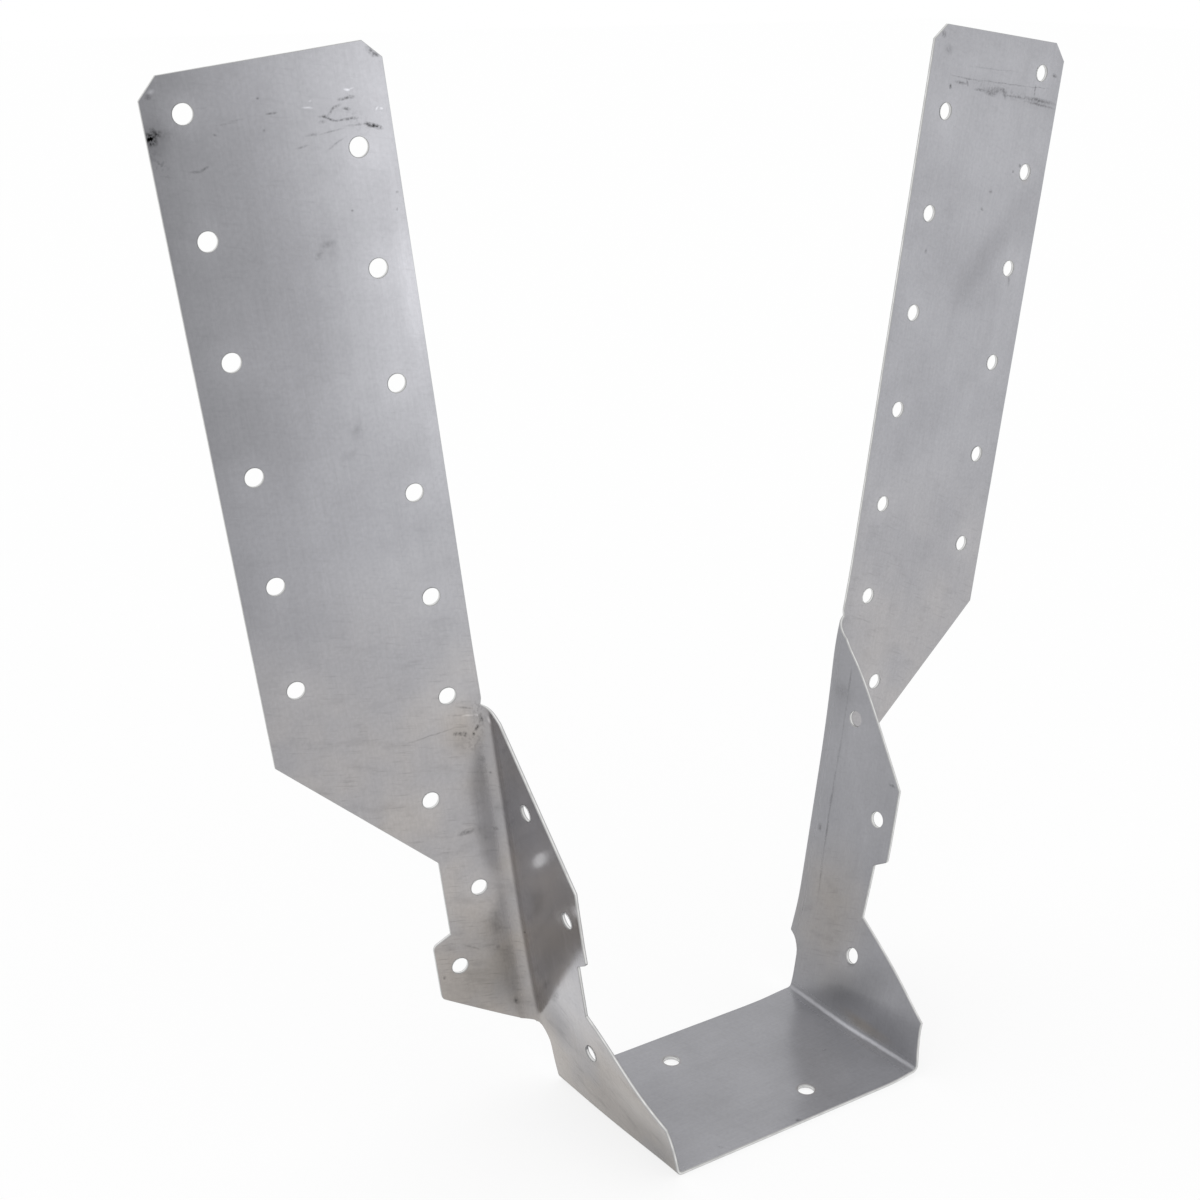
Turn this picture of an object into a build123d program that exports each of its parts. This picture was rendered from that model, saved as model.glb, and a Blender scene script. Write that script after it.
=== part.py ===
# Long-leg joist hanger, folded from one sheet of stainless steel.
#
# The joist lies on the seat and runs towards -Y. The flanges and the long straps lie against the header
# at +Y. The two legs lean outwards and their flanges are swung back a little, as on the hanger shown:
# each leg has its own angles. Lengths are in millimetres.
#
# Frame: the origin is the middle of the seat's upper face, +Z is up, +X is to the right for someone who
# looks along +Y at the header.

import os
from math import cos, radians, sin

from build123d import *

os.makedirs("parts", exist_ok=True)

# Sheet
sheet = 1.0
seat_bend_inner = 1.5
flange_bend_inner = 3.5
crease_inner = 40.0
nail_hole = 5.0

# Seat, with distances measured forward from the header face
joist_width = 89.0
seat_back = 6.9
seat_front = 65.5
seat_hole_side = 12.3
seat_hole_back = 19.4
seat_hole_front = 54.1

# Lean of each leg from upright, below and above its crease, and swing of its flange towards the back
left_low_lean = 15.9
left_lean = 8.05
left_swing = 7.8
right_low_lean = 16.4
right_lean = 7.7
right_swing = 3.85

# Cheek: distances forward from the header face, heights along the sheet from the seat
crease_height = 19.0
bend_bottom = 20.3
cheek_top = 125.0
cheek_top_reach = 4.0
shoulder_reach = 37.2
shoulder_height = 80.8
notch_height = 56.3
notch_reach = 31.5
toe_height = 36.5
tip_height = 16.5
back_corner_radius = 6.5
cheek_holes = [(14.8, 96.9), (30.3, 69.0), (30.8, 23.0)]

# Flange and strap: distances outward from the joist's side, heights along the sheet from the seat
strap_top = 306.7
strap_inner = 2.0
strap_outer = 62.0
strap_corner_outer = 5.0
strap_corner_inner = 4.6
strap_foot_height = 126.9
neck_reach = 21.8
neck_top = 82.2
neck_bottom = 58.1
tab_reach = 27.6
tab_top = 55.8
tab_bottom = 38.0
tab_corner_radius = 2.0
flange_bottom = 21.0
nail_pitch = 30.0
nail_stagger = 15.0
top_margin = 9.5
nails_in_row = 1 + int((strap_top - top_margin - strap_foot_height) // nail_pitch)
outer_row = 52.4
inner_row = 11.4
flange_holes = [(21.0, 102.5), (11.1, 70.1), (20.6, 46.8)]

# Where the flat plates meet the folded corner piece, clear of the bend itself
flange_bend_outer = flange_bend_inner + sheet
corner_reach = 1.1 * flange_bend_outer
header_y = (seat_back + seat_front) / 2

# How far each cut runs to both sides of the face it starts from
hole_cut = 2 * sheet
outline_cut = crease_height / 2

# The folded corner piece starts below its foot, which the back trim then rounds
corner_start = bend_bottom - back_corner_radius / 2


def lean_direction(side, lean):
    """Direction up along a leg that leans out by an angle, in the XZ plane."""
    return Vector(side * sin(radians(lean)), 0, cos(radians(lean)))


def leg_frame(side, low_lean, lean, swing):
    """Planes of one leg, their origins where the upper sheet would meet the header face at height 0."""
    foot = Vector(side * joist_width / 2, header_y, 0)
    crease = foot + lean_direction(side, low_lean) * crease_height
    up = lean_direction(side, lean)
    corner = crease - up * crease_height
    forward = Vector(0, -1, 0)
    outward = Vector(side * cos(radians(lean)), 0, -sin(radians(lean)))
    along = outward * cos(radians(swing)) - forward * sin(radians(swing))
    cheek = Plane(origin=corner, x_dir=forward, z_dir=forward.cross(up))
    flange = Plane(origin=corner, x_dir=along, z_dir=along.cross(up))
    corner_section = Plane(origin=corner + up * corner_start, x_dir=forward, z_dir=up)
    return cheek, flange, corner_section


def section_points(side, low_lean, lean):
    """Inner face of one leg in the seat's section: foot, crease and top."""
    foot = Vector(side * joist_width / 2, header_y, 0)
    crease = foot + lean_direction(side, low_lean) * crease_height
    top = crease + lean_direction(side, lean) * (cheek_top - crease_height)
    return [(point.X, point.Z) for point in (foot, crease, top)]


left_frame = leg_frame(-1, left_low_lean, left_lean, left_swing)
right_frame = leg_frame(1, right_low_lean, right_lean, right_swing)
left_section = section_points(-1, left_low_lean, left_lean)
right_section = section_points(1, right_low_lean, right_lean)

with BuildPart() as hanger_body:
    # Seat and cheeks: one folded section, as deep as the seat reaches
    with BuildSketch(Plane.XZ.offset(corner_reach - header_y)):
        with BuildLine():
            FilletPolyline(
                *reversed(left_section),
                *right_section,
                radius=[crease_inner, seat_bend_inner, seat_bend_inner, crease_inner],
            )
            offset(amount=sheet, side=Side.RIGHT)
        make_face()
    extrude(amount=seat_front - corner_reach)

    # Fold between each cheek and its flange
    for side, swing, frame in ((-1, left_swing, left_frame), (1, right_swing, right_frame)):
        flange_end = (-corner_reach * sin(radians(swing)), side * corner_reach * cos(radians(swing)))
        with BuildSketch(frame[2]):
            with BuildLine():
                FilletPolyline((corner_reach, 0), (0, 0), flange_end, radius=flange_bend_outer)
                offset(amount=sheet, side=Side.LEFT if side < 0 else Side.RIGHT)
            make_face()
        extrude(amount=cheek_top - corner_start)

    # Back edge of the seat and of the cheeks, rounded up into the foot of each fold
    with BuildSketch(Plane.YZ) as back_trim:
        with Locations((header_y, 0)):
            Rectangle(2 * seat_back, 2 * bend_bottom * cos(radians(left_lean)))
        fillet(back_trim.vertices().sort_by(Axis.Y)[-2:], back_corner_radius)
    extrude(amount=joist_width, both=True, mode=Mode.SUBTRACT)

    # Front outline of each cheek, cut square to the sheet
    for cheek, _, _ in (left_frame, right_frame):
        with BuildSketch(cheek):
            with BuildLine():
                Polyline(
                    (cheek_top_reach, cheek_top + sheet),
                    (cheek_top_reach, cheek_top),
                    (shoulder_reach, shoulder_height),
                    (shoulder_reach, notch_height),
                    (notch_reach, notch_height),
                    (notch_reach, toe_height),
                    (seat_front, tip_height),
                    (seat_front + sheet, tip_height),
                    (seat_front + sheet, cheek_top + sheet),
                    close=True,
                )
            make_face()
        extrude(amount=outline_cut, both=True, mode=Mode.SUBTRACT)

    # Flange with its long strap
    for side, (_, flange, _) in ((-1, left_frame), (1, right_frame)):
        with BuildSketch(flange) as outline:
            with BuildLine():
                Polyline(
                    (corner_reach, flange_bottom),
                    (tab_reach, tab_bottom),
                    (tab_reach, tab_top),
                    (neck_reach, neck_bottom),
                    (neck_reach, neck_top),
                    (strap_outer, strap_foot_height),
                    (strap_outer, strap_top - strap_corner_outer),
                    (strap_outer - strap_corner_outer, strap_top),
                    (strap_inner + strap_corner_inner, strap_top),
                    (strap_inner, strap_top - strap_corner_inner),
                    (strap_inner, cheek_top),
                    (corner_reach, cheek_top),
                    close=True,
                )
            make_face()
            tab_ends = [corner for corner in outline.vertices() if abs(corner.X - tab_reach) < tab_corner_radius]
            fillet(tab_ends, tab_corner_radius)
        extrude(amount=side * sheet)

    # Nail holes: seat, cheeks, flanges and the two staggered rows of the straps
    with BuildSketch(Plane.XY):
        with Locations(
            (-seat_hole_side, header_y - seat_hole_back),
            (seat_hole_side, header_y - seat_hole_front),
        ):
            Circle(nail_hole / 2)
    extrude(amount=hole_cut, both=True, mode=Mode.SUBTRACT)
    for cheek, flange, _ in (left_frame, right_frame):
        with BuildSketch(cheek):
            with Locations(*cheek_holes):
                Circle(nail_hole / 2)
        extrude(amount=hole_cut, both=True, mode=Mode.SUBTRACT)
        outer_nails = [(outer_row, strap_top - top_margin - i * nail_pitch) for i in range(nails_in_row)]
        inner_nails = [(inner_row, height - nail_stagger) for _, height in outer_nails]
        with BuildSketch(flange):
            with Locations(*outer_nails, *inner_nails, *flange_holes):
                Circle(nail_hole / 2)
        extrude(amount=hole_cut, both=True, mode=Mode.SUBTRACT)

hanger_body.part.label = "hanger_body"
export_step(hanger_body.part, "parts/hanger_body.step")
box = hanger_body.part.bounding_box()
print("solids", len(hanger_body.part.solids()), "volume", round(hanger_body.part.volume, 1), "box", box)
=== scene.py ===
# %% [markdown]
# A long-leg joist hanger, dressed for a studio picture.
# The real thing is one strip of stainless sheet that was punched flat and then folded: a seat, two cheeks, and two
# flanges that run up into long straps. This notebook makes it the same way. It draws the flat blank, fills it with
# a fine mesh, folds it, gives it its thickness, and then works on the finish, which is most of what the eye sees.
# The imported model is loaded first. It is the fixed frame that everything has to agree with.

# %% Load the frame
import math

import bpy
import numpy as np
from mathutils import Matrix, Vector, geometry


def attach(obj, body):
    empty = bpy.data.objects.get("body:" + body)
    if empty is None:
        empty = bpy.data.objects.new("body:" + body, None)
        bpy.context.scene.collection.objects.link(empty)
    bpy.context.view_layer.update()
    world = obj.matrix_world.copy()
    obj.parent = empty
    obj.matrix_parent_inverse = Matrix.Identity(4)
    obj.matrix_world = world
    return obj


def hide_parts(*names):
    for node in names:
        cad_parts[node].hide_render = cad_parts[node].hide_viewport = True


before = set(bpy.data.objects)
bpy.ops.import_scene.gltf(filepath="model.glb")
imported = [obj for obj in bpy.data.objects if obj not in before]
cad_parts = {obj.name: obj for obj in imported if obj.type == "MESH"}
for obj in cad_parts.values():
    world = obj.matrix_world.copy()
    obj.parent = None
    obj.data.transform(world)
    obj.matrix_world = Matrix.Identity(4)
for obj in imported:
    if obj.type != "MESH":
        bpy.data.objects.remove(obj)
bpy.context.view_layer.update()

# %% [markdown]
# The sizes below are the hanger's own, in millimetres, and each is written once. Heights run up a leg along the
# sheet from the seat. Reaches run forward from the header face on the seat and the cheeks, and outward from the
# joist's side on the flanges and straps. The two legs lean and swing by different angles, which are in degrees.

# %% Sizes of the sheet and its folds
mm = 0.001
sheet = 1.0
seat_bend_inner = 1.5
crease_inner = 40.0
nail_hole = 5.0
joist_width = 89.0
seat_back = 6.9
seat_front = 65.5
crease_height = 19.0
bend_bottom = 20.3
cheek_top = 125.0
strap_top = 306.7
strap_edge = -62.0
half_seat = joist_width / 2
header_y = (seat_back + seat_front) / 2
legs = {
    -1: {"low_lean": 15.9, "lean": 8.05, "swing": 7.8},
    1: {"low_lean": 16.4, "lean": 7.7, "swing": 3.85},
}
print("seat", joist_width, "by", round(seat_front - seat_back, 1), "mm, legs", strap_top, "mm along the sheet")

# %% [markdown]
# The blank is one flat outline. A point on it has a place s along the strip, which runs from the top of the left
# strap over the seat to the top of the right strap, and a reach q, which is forward of the header face or, where it
# is negative, outward on a flange. Only one leg is drawn, and the other is its mirror image.

# %% Outline of one leg, from the front of the seat to its back
leg_outline = [
    (16.5, seat_front),
    (36.5, 31.5),
    (54.4, 32.2),
    (57.3, 37.2),
    (80.8, 37.2),
    (cheek_top - 3.2, 6.4),
    (cheek_top + 1.6, -2.0),
    (strap_top - 4.6, -2.0),
    (strap_top, -6.6),
    (strap_top, -57.0),
    (strap_top - 5.0, strap_edge),
    (126.9, strap_edge),
    (82.2, -21.8),
    (58.1, -21.8),
    (55.8, -27.6),
    (38.0, -27.6),
    (21.2, -5.0),
    (bend_bottom - 1.5, 0.5),
    (bend_bottom - 1.3, seat_back),
]
corner_radii = {2: 0.7, 3: 1.6, 14: 2.0, 15: 2.0, 18: 6.5}


def round_corner(before, corner, after, radius, steps=6):
    """Points of an arc that replaces a corner."""
    corner = Vector(corner)
    to_before = (Vector(before) - corner).normalized()
    to_after = (Vector(after) - corner).normalized()
    half_angle = to_before.angle(to_after) / 2
    centre = corner + (to_before + to_after).normalized() * radius / math.sin(half_angle)
    start = corner + to_before * radius / math.tan(half_angle) - centre
    end = corner + to_after * radius / math.tan(half_angle) - centre
    turn = start.angle_signed(end)
    return [tuple(centre + Matrix.Rotation(-turn * i / steps, 2) @ start) for i in range(steps + 1)]


leg_points = []
for i, corner in enumerate(leg_outline):
    if i in corner_radii:
        after = leg_outline[i + 1] if i + 1 < len(leg_outline) else (0.0, seat_back)
        leg_points += round_corner(leg_outline[i - 1], corner, after, corner_radii[i])
    else:
        leg_points.append(corner)
blank = [(half_seat + h, q) for h, q in leg_points]
blank += [(-s, q) for s, q in reversed(blank)]
print("blank:", len(blank), "corner points,", round(2 * (half_seat + strap_top)), "mm long")

# %% [markdown]
# The nail holes are punched in the flat blank too: a diagonal pair in the seat, three in each cheek, and in each
# flange and strap three below and two staggered rows above.

# %% Places of the nail holes
nail_pitch = 30.0
nails_in_row = 6
outer_nails = [(297.2 - i * nail_pitch, -52.4) for i in range(nails_in_row)]
inner_nails = [(282.2 - i * nail_pitch, -11.4) for i in range(nails_in_row)]
flange_nails = [(102.5, -21.0), (70.1, -11.1), (46.8, -20.6)]
cheek_nails = [(96.9, 14.8), (69.0, 30.3), (23.0, 30.8)]
leg_nails = outer_nails + inner_nails + flange_nails + cheek_nails
nails = [(-12.3, 19.4), (12.3, 54.1)]
nails += [(side * (half_seat + h), q) for side in (-1, 1) for h, q in leg_nails]
print(len(nails), "nail holes")

# %% [markdown]
# A flat polygon would do for a flat plate, but this sheet bends and dips, so the blank is filled with a grid of
# points, closer together across each fold and in rings round each hole, and triangulated between its edges.

# %% How closely the blank is divided
spacing = 2.0
fold_spacing = 0.3
ring_radii = [nail_hole / 2, 2.9, 3.5, 4.3, 5.4, 6.9]
ring_counts = [40, 40, 32, 28, 24, 24]
fold_length = 9.0
flange_fold = 0.65 * fold_length
seat_fold = seat_bend_inner * math.tan(math.radians(90 - legs[1]["low_lean"]) / 2)
print("fine bands in mm: seat corners", round(2 * seat_fold, 1), "and flange folds", round(2 * flange_fold, 1))


# %% Points along the edge of the blank
def divided(a, b):
    """Points along an edge of the blank, without its end, fine where it crosses a fold."""
    a, b = Vector(a), Vector(b)
    length = (b - a).length
    points = [a]
    travelled = 0.0
    while True:
        here = points[-1]
        near_seat_fold = abs(abs(here.x) - half_seat) < seat_fold + fold_spacing
        near_flange_fold = abs(here.y) < flange_fold + fold_spacing and abs(here.x) > half_seat + 1
        fine = near_seat_fold or near_flange_fold
        travelled += fold_spacing if fine else spacing / 2
        if travelled > length - fold_spacing / 2:
            return [tuple(p) for p in points]
        points.append(a + (b - a) * travelled / length)


edge_points = []
for a, b in zip(blank, blank[1:] + blank[:1]):
    edge_points += divided(a, b)
outline = np.array(edge_points)
print("outline:", len(outline), "points")


# %% Rings of points round the holes
def circle(middle, radius, points_round):
    """Points of a circle on the blank."""
    turns = [2 * math.pi * i / points_round for i in range(points_round)]
    return [(middle[0] + radius * math.cos(turn), middle[1] + radius * math.sin(turn)) for turn in turns]


loops = [edge_points]
ring_points = []
for nail in nails:
    loops.append(circle(nail, ring_radii[0], ring_counts[0]))
    for radius, points_round in zip(ring_radii[1:], ring_counts[1:]):
        ring_points += circle(nail, radius, points_round)
ring_points = np.array(ring_points)
print(len(loops), "closed loops and", len(ring_points), "points in rings")


# %% Grids of points, fine across the folds
def across(low, high, step):
    """Evenly spaced values that end exactly on both limits."""
    return np.linspace(low, high, max(2, round((high - low) / step) + 1))


def grid(s_values, q_values):
    """All pairs of two lists of values, as an array of points."""
    s_all, q_all = np.meshgrid(s_values, q_values)
    return np.column_stack([s_all.ravel(), q_all.ravel()])


s_end = half_seat + strap_top
plain_points = grid(across(-s_end, s_end, spacing), across(strap_edge, seat_front, spacing))
fold_grids = []
fine_from, fine_to = bend_bottom - 6, cheek_top + 8
for side in (-1, 1):
    seat_lines = side * half_seat + across(-seat_fold, seat_fold, fold_spacing)
    fold_grids.append(grid(seat_lines, across(seat_back, seat_front, spacing)))
    leg_lines = side * half_seat + side * across(fine_from, fine_to, spacing)
    fold_grids.append(grid(leg_lines, across(-flange_fold, flange_fold, fold_spacing)))
fold_points = np.vstack(fold_grids)
print("grid:", len(plain_points), "plain points,", len(fold_points), "in the folds")

# %% [markdown]
# Points that crowd each other or the edge would make slivers, which shade badly. So each kind keeps a gap to the
# outline and gives way to the finer kinds, before one constrained triangulation joins them all.


# %% Tests for where a point lies
def inside_blank(points):
    """True for each point that lies inside the blank's outline."""
    inside = np.zeros(len(points), bool)
    for (ax, ay), (bx, by) in zip(outline, np.roll(outline, -1, axis=0)):
        crosses = (ay > points[:, 1]) != (by > points[:, 1])
        if crosses.any():
            x_cross = ax + (points[:, 1] - ay) * (bx - ax) / (by - ay)
            inside ^= crosses & (points[:, 0] < x_cross)
    return inside


def clear_of(points, others, gap, block_size=2000):
    """True for each point that is further than a gap from all the others. It works in blocks to spare memory."""
    clear = np.ones(len(points), bool)
    for start in range(0, len(points), block_size):
        block = points[start:start + block_size]
        distance = np.hypot(block[:, None, 0] - others[None, :, 0], block[:, None, 1] - others[None, :, 1])
        clear[start:start + block_size] = distance.min(axis=1) > gap
    return clear


# %% Keep the points that lie clear, and triangulate
fold_gap, ring_gap, grid_gap = 0.12, 0.35, 0.5 * spacing
nail_array = np.array(nails)
fold_points = fold_points[inside_blank(fold_points) & clear_of(fold_points, outline, fold_gap)]
ring_points = ring_points[inside_blank(ring_points) & clear_of(ring_points, outline, ring_gap)]
ring_points = ring_points[clear_of(ring_points, fold_points, ring_gap)]
plain_points = plain_points[inside_blank(plain_points) & clear_of(plain_points, outline, grid_gap)]
plain_points = plain_points[clear_of(plain_points, fold_points, 0.6 * spacing)]
plain_points = plain_points[clear_of(plain_points, nail_array, ring_radii[-1] + grid_gap)]

flat = []
edges = []
for loop in loops:
    first = len(flat)
    flat += loop
    edges += [(first + i, first + (i + 1) % len(loop)) for i in range(len(loop))]
flat += [tuple(p) for group in (fold_points, ring_points, plain_points) for p in group]
verts_2d, _, faces_2d, *_ = geometry.delaunay_2d_cdt([Vector(p) for p in flat], edges, [], 1, 1e-5)
places = np.array([tuple(v) for v in verts_2d])
triangles = np.array([f for f in faces_2d if len(f) == 3])
middles = places[triangles].mean(axis=1)
triangles = triangles[clear_of(middles, nail_array, nail_hole / 2) & inside_blank(middles)]
print("flat mesh:", len(places), "points,", len(triangles), "triangles")

# %% [markdown]
# Folding is a rule that takes each point of the blank to its place in space. Along a leg the sheet's inner face
# follows a section with two arcs, at the seat's corner and at the crease. Across a leg it follows one more arc, from
# the cheek into the flange. The rule gives the sheet's middle surface, because the thickness comes afterwards.


# %% The section up a leg
def section(leg, h):
    """Place of the inner face at a height, as x and z, and the sheet's direction there as an angle."""
    low, high = math.radians(90 - leg["low_lean"]), math.radians(90 - leg["lean"])
    corner_arc = seat_bend_inner * math.tan(low / 2)
    crease_arc = crease_inner * math.tan((high - low) / 2)
    share = np.clip((h + corner_arc) / (2 * corner_arc), 0, 1)
    angle = low * share + (high - low) * np.clip((h - crease_height + crease_arc) / (2 * crease_arc), 0, 1)
    corner_x = half_seat - corner_arc + seat_bend_inner * np.sin(angle)
    corner_z = seat_bend_inner * (1 - np.cos(angle))
    crease_x = half_seat + crease_height * math.cos(low)
    crease_z = crease_height * math.sin(low)
    start_x = crease_x - crease_arc * math.cos(low) - crease_inner * math.sin(low)
    start_z = crease_z - crease_arc * math.sin(low) + crease_inner * math.cos(low)
    on_seat = h <= -corner_arc
    in_corner = (h > -corner_arc) & (h < corner_arc)
    on_low = (h >= corner_arc) & (h < crease_height - crease_arc)
    in_crease = (h >= crease_height - crease_arc) & (h <= crease_height + crease_arc)
    stretches = [on_seat, in_corner, on_low, in_crease]
    x = np.select(
        stretches,
        [half_seat + h, corner_x, half_seat + h * math.cos(low), start_x + crease_inner * np.sin(angle)],
        crease_x + (h - crease_height) * math.cos(high),
    )
    z = np.select(
        stretches,
        [0 * h, corner_z, h * math.sin(low), start_z - crease_inner * np.cos(angle)],
        crease_z + (h - crease_height) * math.sin(high),
    )
    return x, z, angle


for side, leg in legs.items():
    top_x, top_z, _ = section(leg, np.array([strap_top]))
    print("left" if side < 0 else "right", "leg ends", round(top_x[0], 1), "mm out,", round(top_z[0], 1), "mm up")

# %% [markdown]
# No hand-sprung hanger is quite true. On this one the lower legs are pressed in by about a millimetre, the cheeks
# are turned out toward their front, and a few knocks left soft dents. A camera sees such small tilts in bright
# sheet as large changes of tone, so they are part of the shape here and not a trick of the material.


# %% How far this hanger is off its ideal folds
def ease(value, low, high):
    """Rises smoothly from 0 at one limit to 1 at the other."""
    share = np.clip((value - low) / (high - low), 0, 1)
    return share * share * (3 - 2 * share)


def hump(value, middle, spread):
    """A soft rise to 1 at its middle."""
    return np.exp(-((value - middle) / spread) ** 2)


def sprung(side, h, q):
    """How far the sheet stands out from its ideal fold, outward from the joist, in mm. It fades on the flange."""
    if side < 0:
        pressed_in = -1.1 * hump(h, 20, np.where(h < 20, 12, 28)) * ease(-q, -58, -34)
        turned_out = 0.026 * (np.maximum(q, 0) - 14) * ease(h, 30, 75) * ease(-h, -150, -122)
    else:
        pressed_in = -1.3 * hump(h, 17, 9)
        turned_out = 0.033 * np.maximum(q - 8, 0) * ease(h, 30, 70) * ease(-h, -135, -95)
    flange_fade = 8
    return (pressed_in + turned_out) * np.exp(np.minimum(q, 0) / flange_fade)


# A dent is its side, height and reach, how far it spreads each way, and its push in x, y and z.
dents = [
    (-1, 8, 66, 16, 24, (1.8, 0.0, 0.0)),
    (1, 0, 66, 5, 28, (1.4, 0.0, 0.9)),
    (1, 0, 8, 9, 22, (0.6, 0.0, 0.9)),
    (1, 17, 66, 9, 14, (0.2, 1.3, -0.5)),
    (1, 120, 5, 11, 7, (0.0, 1.1, -1.5)),
    (1, 113, 3, 20, 12, (-0.9, 0.0, 0.0)),
]


def dented(side, h, q):
    """How far handling has pushed the sheet, in mm, as soft bumps."""
    push = np.zeros((len(h), 3))
    for bump_side, bump_h, bump_q, spread_h, spread_q, direction in dents:
        if bump_side == side:
            strength = np.exp(-((h - bump_h) / spread_h) ** 2 - ((q - bump_q) / spread_q) ** 2)
            push += strength[:, None] * np.array(direction)
    return push


print(len(dents), "dents, the deepest", max(round(Vector(dent[-1]).length, 1) for dent in dents), "mm")

# %% [markdown]
# The fold between cheek and flange isn't a plain arc. It is tightest in its middle and eases out, so its curve is
# summed up from small steps. At the fold's foot the sheet is cropped, and at its top it flattens into the strap.

# %% The fold from the cheek into the flange
bend_tightness = 2.4
bend_start = bend_bottom - 7
flatten_from, flatten_to = cheek_top + 0.5, cheek_top + 4


def flange_curve(turn, steps=200):
    """The flange's fold, seen from above. Gives its reach, and its points back along the cheek and outward."""
    share = (np.arange(steps) + 0.5) / steps
    heading = turn / 2 * (1 + np.tanh(bend_tightness * (2 * share - 1)) / math.tanh(bend_tightness))
    step = fold_length / steps
    back = np.concatenate([[0], np.cumsum(np.cos(heading)) * step])
    out = np.concatenate([[0], np.cumsum(np.sin(heading)) * step])
    reach = back[-1] - out[-1] / math.tan(turn)
    return reach, back, out


def fold_leg(side, h, q):
    """Middle surface of one leg, in the hanger's frame and in millimetres."""
    leg = legs[side]
    x, z, angle = section(leg, h)
    inner = np.column_stack([side * x, header_y + 0 * h, z])
    outward = np.column_stack([side * np.sin(angle), 0 * h, -np.cos(angle)])
    forward = np.array([0.0, -1.0, 0.0])
    inner = inner + sprung(side, h, q)[:, None] * outward
    cheek = inner + q[:, None] * forward + outward * sheet / 2
    swing = math.radians(leg["swing"])
    along = outward * math.cos(swing) - forward * math.sin(swing)
    front = outward * math.sin(swing) + forward * math.cos(swing)
    flange = inner - q[:, None] * along + front * sheet / 2
    turn = math.pi / 2 - swing
    reach, back, out = flange_curve(turn)
    shift = sheet / 2 * math.tan(turn / 2)
    bend_reach = reach + shift
    share = np.clip((bend_reach - q) / (2 * bend_reach), 0, 1) * (len(back) - 1)
    corner = inner + outward * sheet / 2 + forward * shift
    bend = corner + forward * (reach - np.interp(share, np.arange(len(back)), back))[:, None]
    bend = bend + outward * np.interp(share, np.arange(len(out)), out)[:, None]
    bent = (np.abs(q) < bend_reach) & (h > bend_start)
    flattened = ease(h, flatten_from, flatten_to)[:, None]
    bend = bend * (1 - flattened) + flange * flattened
    return np.where(bent[:, None], bend, np.where((q < 0)[:, None], flange, cheek)) + dented(side, h, q)


# %% Fold the blank
folded = np.zeros((len(places), 3))
for side in (-1, 1):
    of_leg = places[:, 0] >= 0 if side > 0 else places[:, 0] < 0
    folded[of_leg] = fold_leg(side, side * places[of_leg, 0] - half_seat, places[of_leg, 1])


def add_object(name, held):
    """A new object in the scene that holds the mesh or the camera."""
    made = bpy.data.objects.new(name, held)
    bpy.context.scene.collection.objects.link(made)
    return made


sheet_mesh = bpy.data.meshes.new("hanger_sheet")
sheet_mesh.from_pydata((folded * mm).tolist(), [], triangles.tolist())
sheet_mesh.update()
hanger = add_object("hanger_sheet", sheet_mesh)
print("folded sheet in mm: from", folded.min(axis=0).round(1), "to", folded.max(axis=0).round(1))

# %% [markdown]
# Each hole was punched, and the punch dished the sheet a little round it. That repeats at all the holes, so it's a
# job for Geometry Nodes: the tree measures how far each point of the sheet is from the nearest hole, moves the near
# ones along the normal, and keeps the same falloff as an attribute, which the finish uses to paint a faint sheen
# round each hole, a painted highlight where the dish would catch the light.
# Nodes come up all through the rest of this notebook, so a few short helpers make them, set them and link them.


# %% Helpers for nodes
def node(tree, kind, inputs=None, **settings):
    """A node with its settings, and its inputs given numbers or linked to other nodes' sockets."""
    made = tree.nodes.new(kind)
    for setting, value in settings.items():
        setattr(made, setting, value)
    for name, value in (inputs or {}).items():
        if isinstance(value, bpy.types.NodeSocket):
            tree.links.new(value, made.inputs[name])
        else:
            made.inputs[name].default_value = value
    return made


def math_node(tree, operation, *values, clamp=False):
    """The result of a Math node on numbers or sockets."""
    inputs = dict(enumerate(values))
    return node(tree, "ShaderNodeMath", inputs, operation=operation, use_clamp=clamp).outputs[0]


def ramp(tree, value, low, high, to_low=0.0, to_high=1.0, kind="SMOOTHSTEP"):
    """The result of a Map Range node on a socket."""
    inputs = {"Value": value, "From Min": low, "From Max": high, "To Min": to_low, "To Max": to_high}
    return node(tree, "ShaderNodeMapRange", inputs, interpolation_type=kind).outputs["Result"]


def new_tree(name, inputs):
    """A geometry tree with the named inputs, and the sockets that they come in by."""
    tree = bpy.data.node_groups.new(name, "GeometryNodeTree")
    tree.interface.new_socket("Geometry", in_out="INPUT", socket_type="NodeSocketGeometry")
    for input_name, kind, value in inputs:
        socket = tree.interface.new_socket(input_name, in_out="INPUT", socket_type=kind)
        if value is not None:
            socket.default_value = value
    tree.interface.new_socket("Geometry", in_out="OUTPUT", socket_type="NodeSocketGeometry")
    return tree, node(tree, "NodeGroupInput").outputs


def end_tree(tree, made, material):
    """Close a tree: copies become real mesh, and the material is set."""
    realize = node(tree, "GeometryNodeRealizeInstances", {0: made})
    dress = node(tree, "GeometryNodeSetMaterial", {"Geometry": realize.outputs[0], "Material": material})
    node(tree, "NodeGroupOutput", {"Geometry": dress.outputs["Geometry"]})
    print(tree.name, "has", len(tree.nodes), "nodes")


# %% [markdown]
# The trees need to know where the holes are, so a small mesh of points says it. Each point lies on the folded sheet
# and carries the direction that the sheet faces there.

# %% Points and directions of the holes
def folded_place(s, q, step=0.01):
    """Place in space and sheet direction of one point of the blank, from two more points a small step away."""
    spots = np.array([[s, q], [s + step, q], [s, q + step]])
    side = -1 if s < 0 else 1
    here, further, forward = fold_leg(side, side * spots[:, 0] - half_seat, spots[:, 1])
    facing = np.cross(further - here, forward - here)
    return here, facing / np.linalg.norm(facing)


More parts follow.
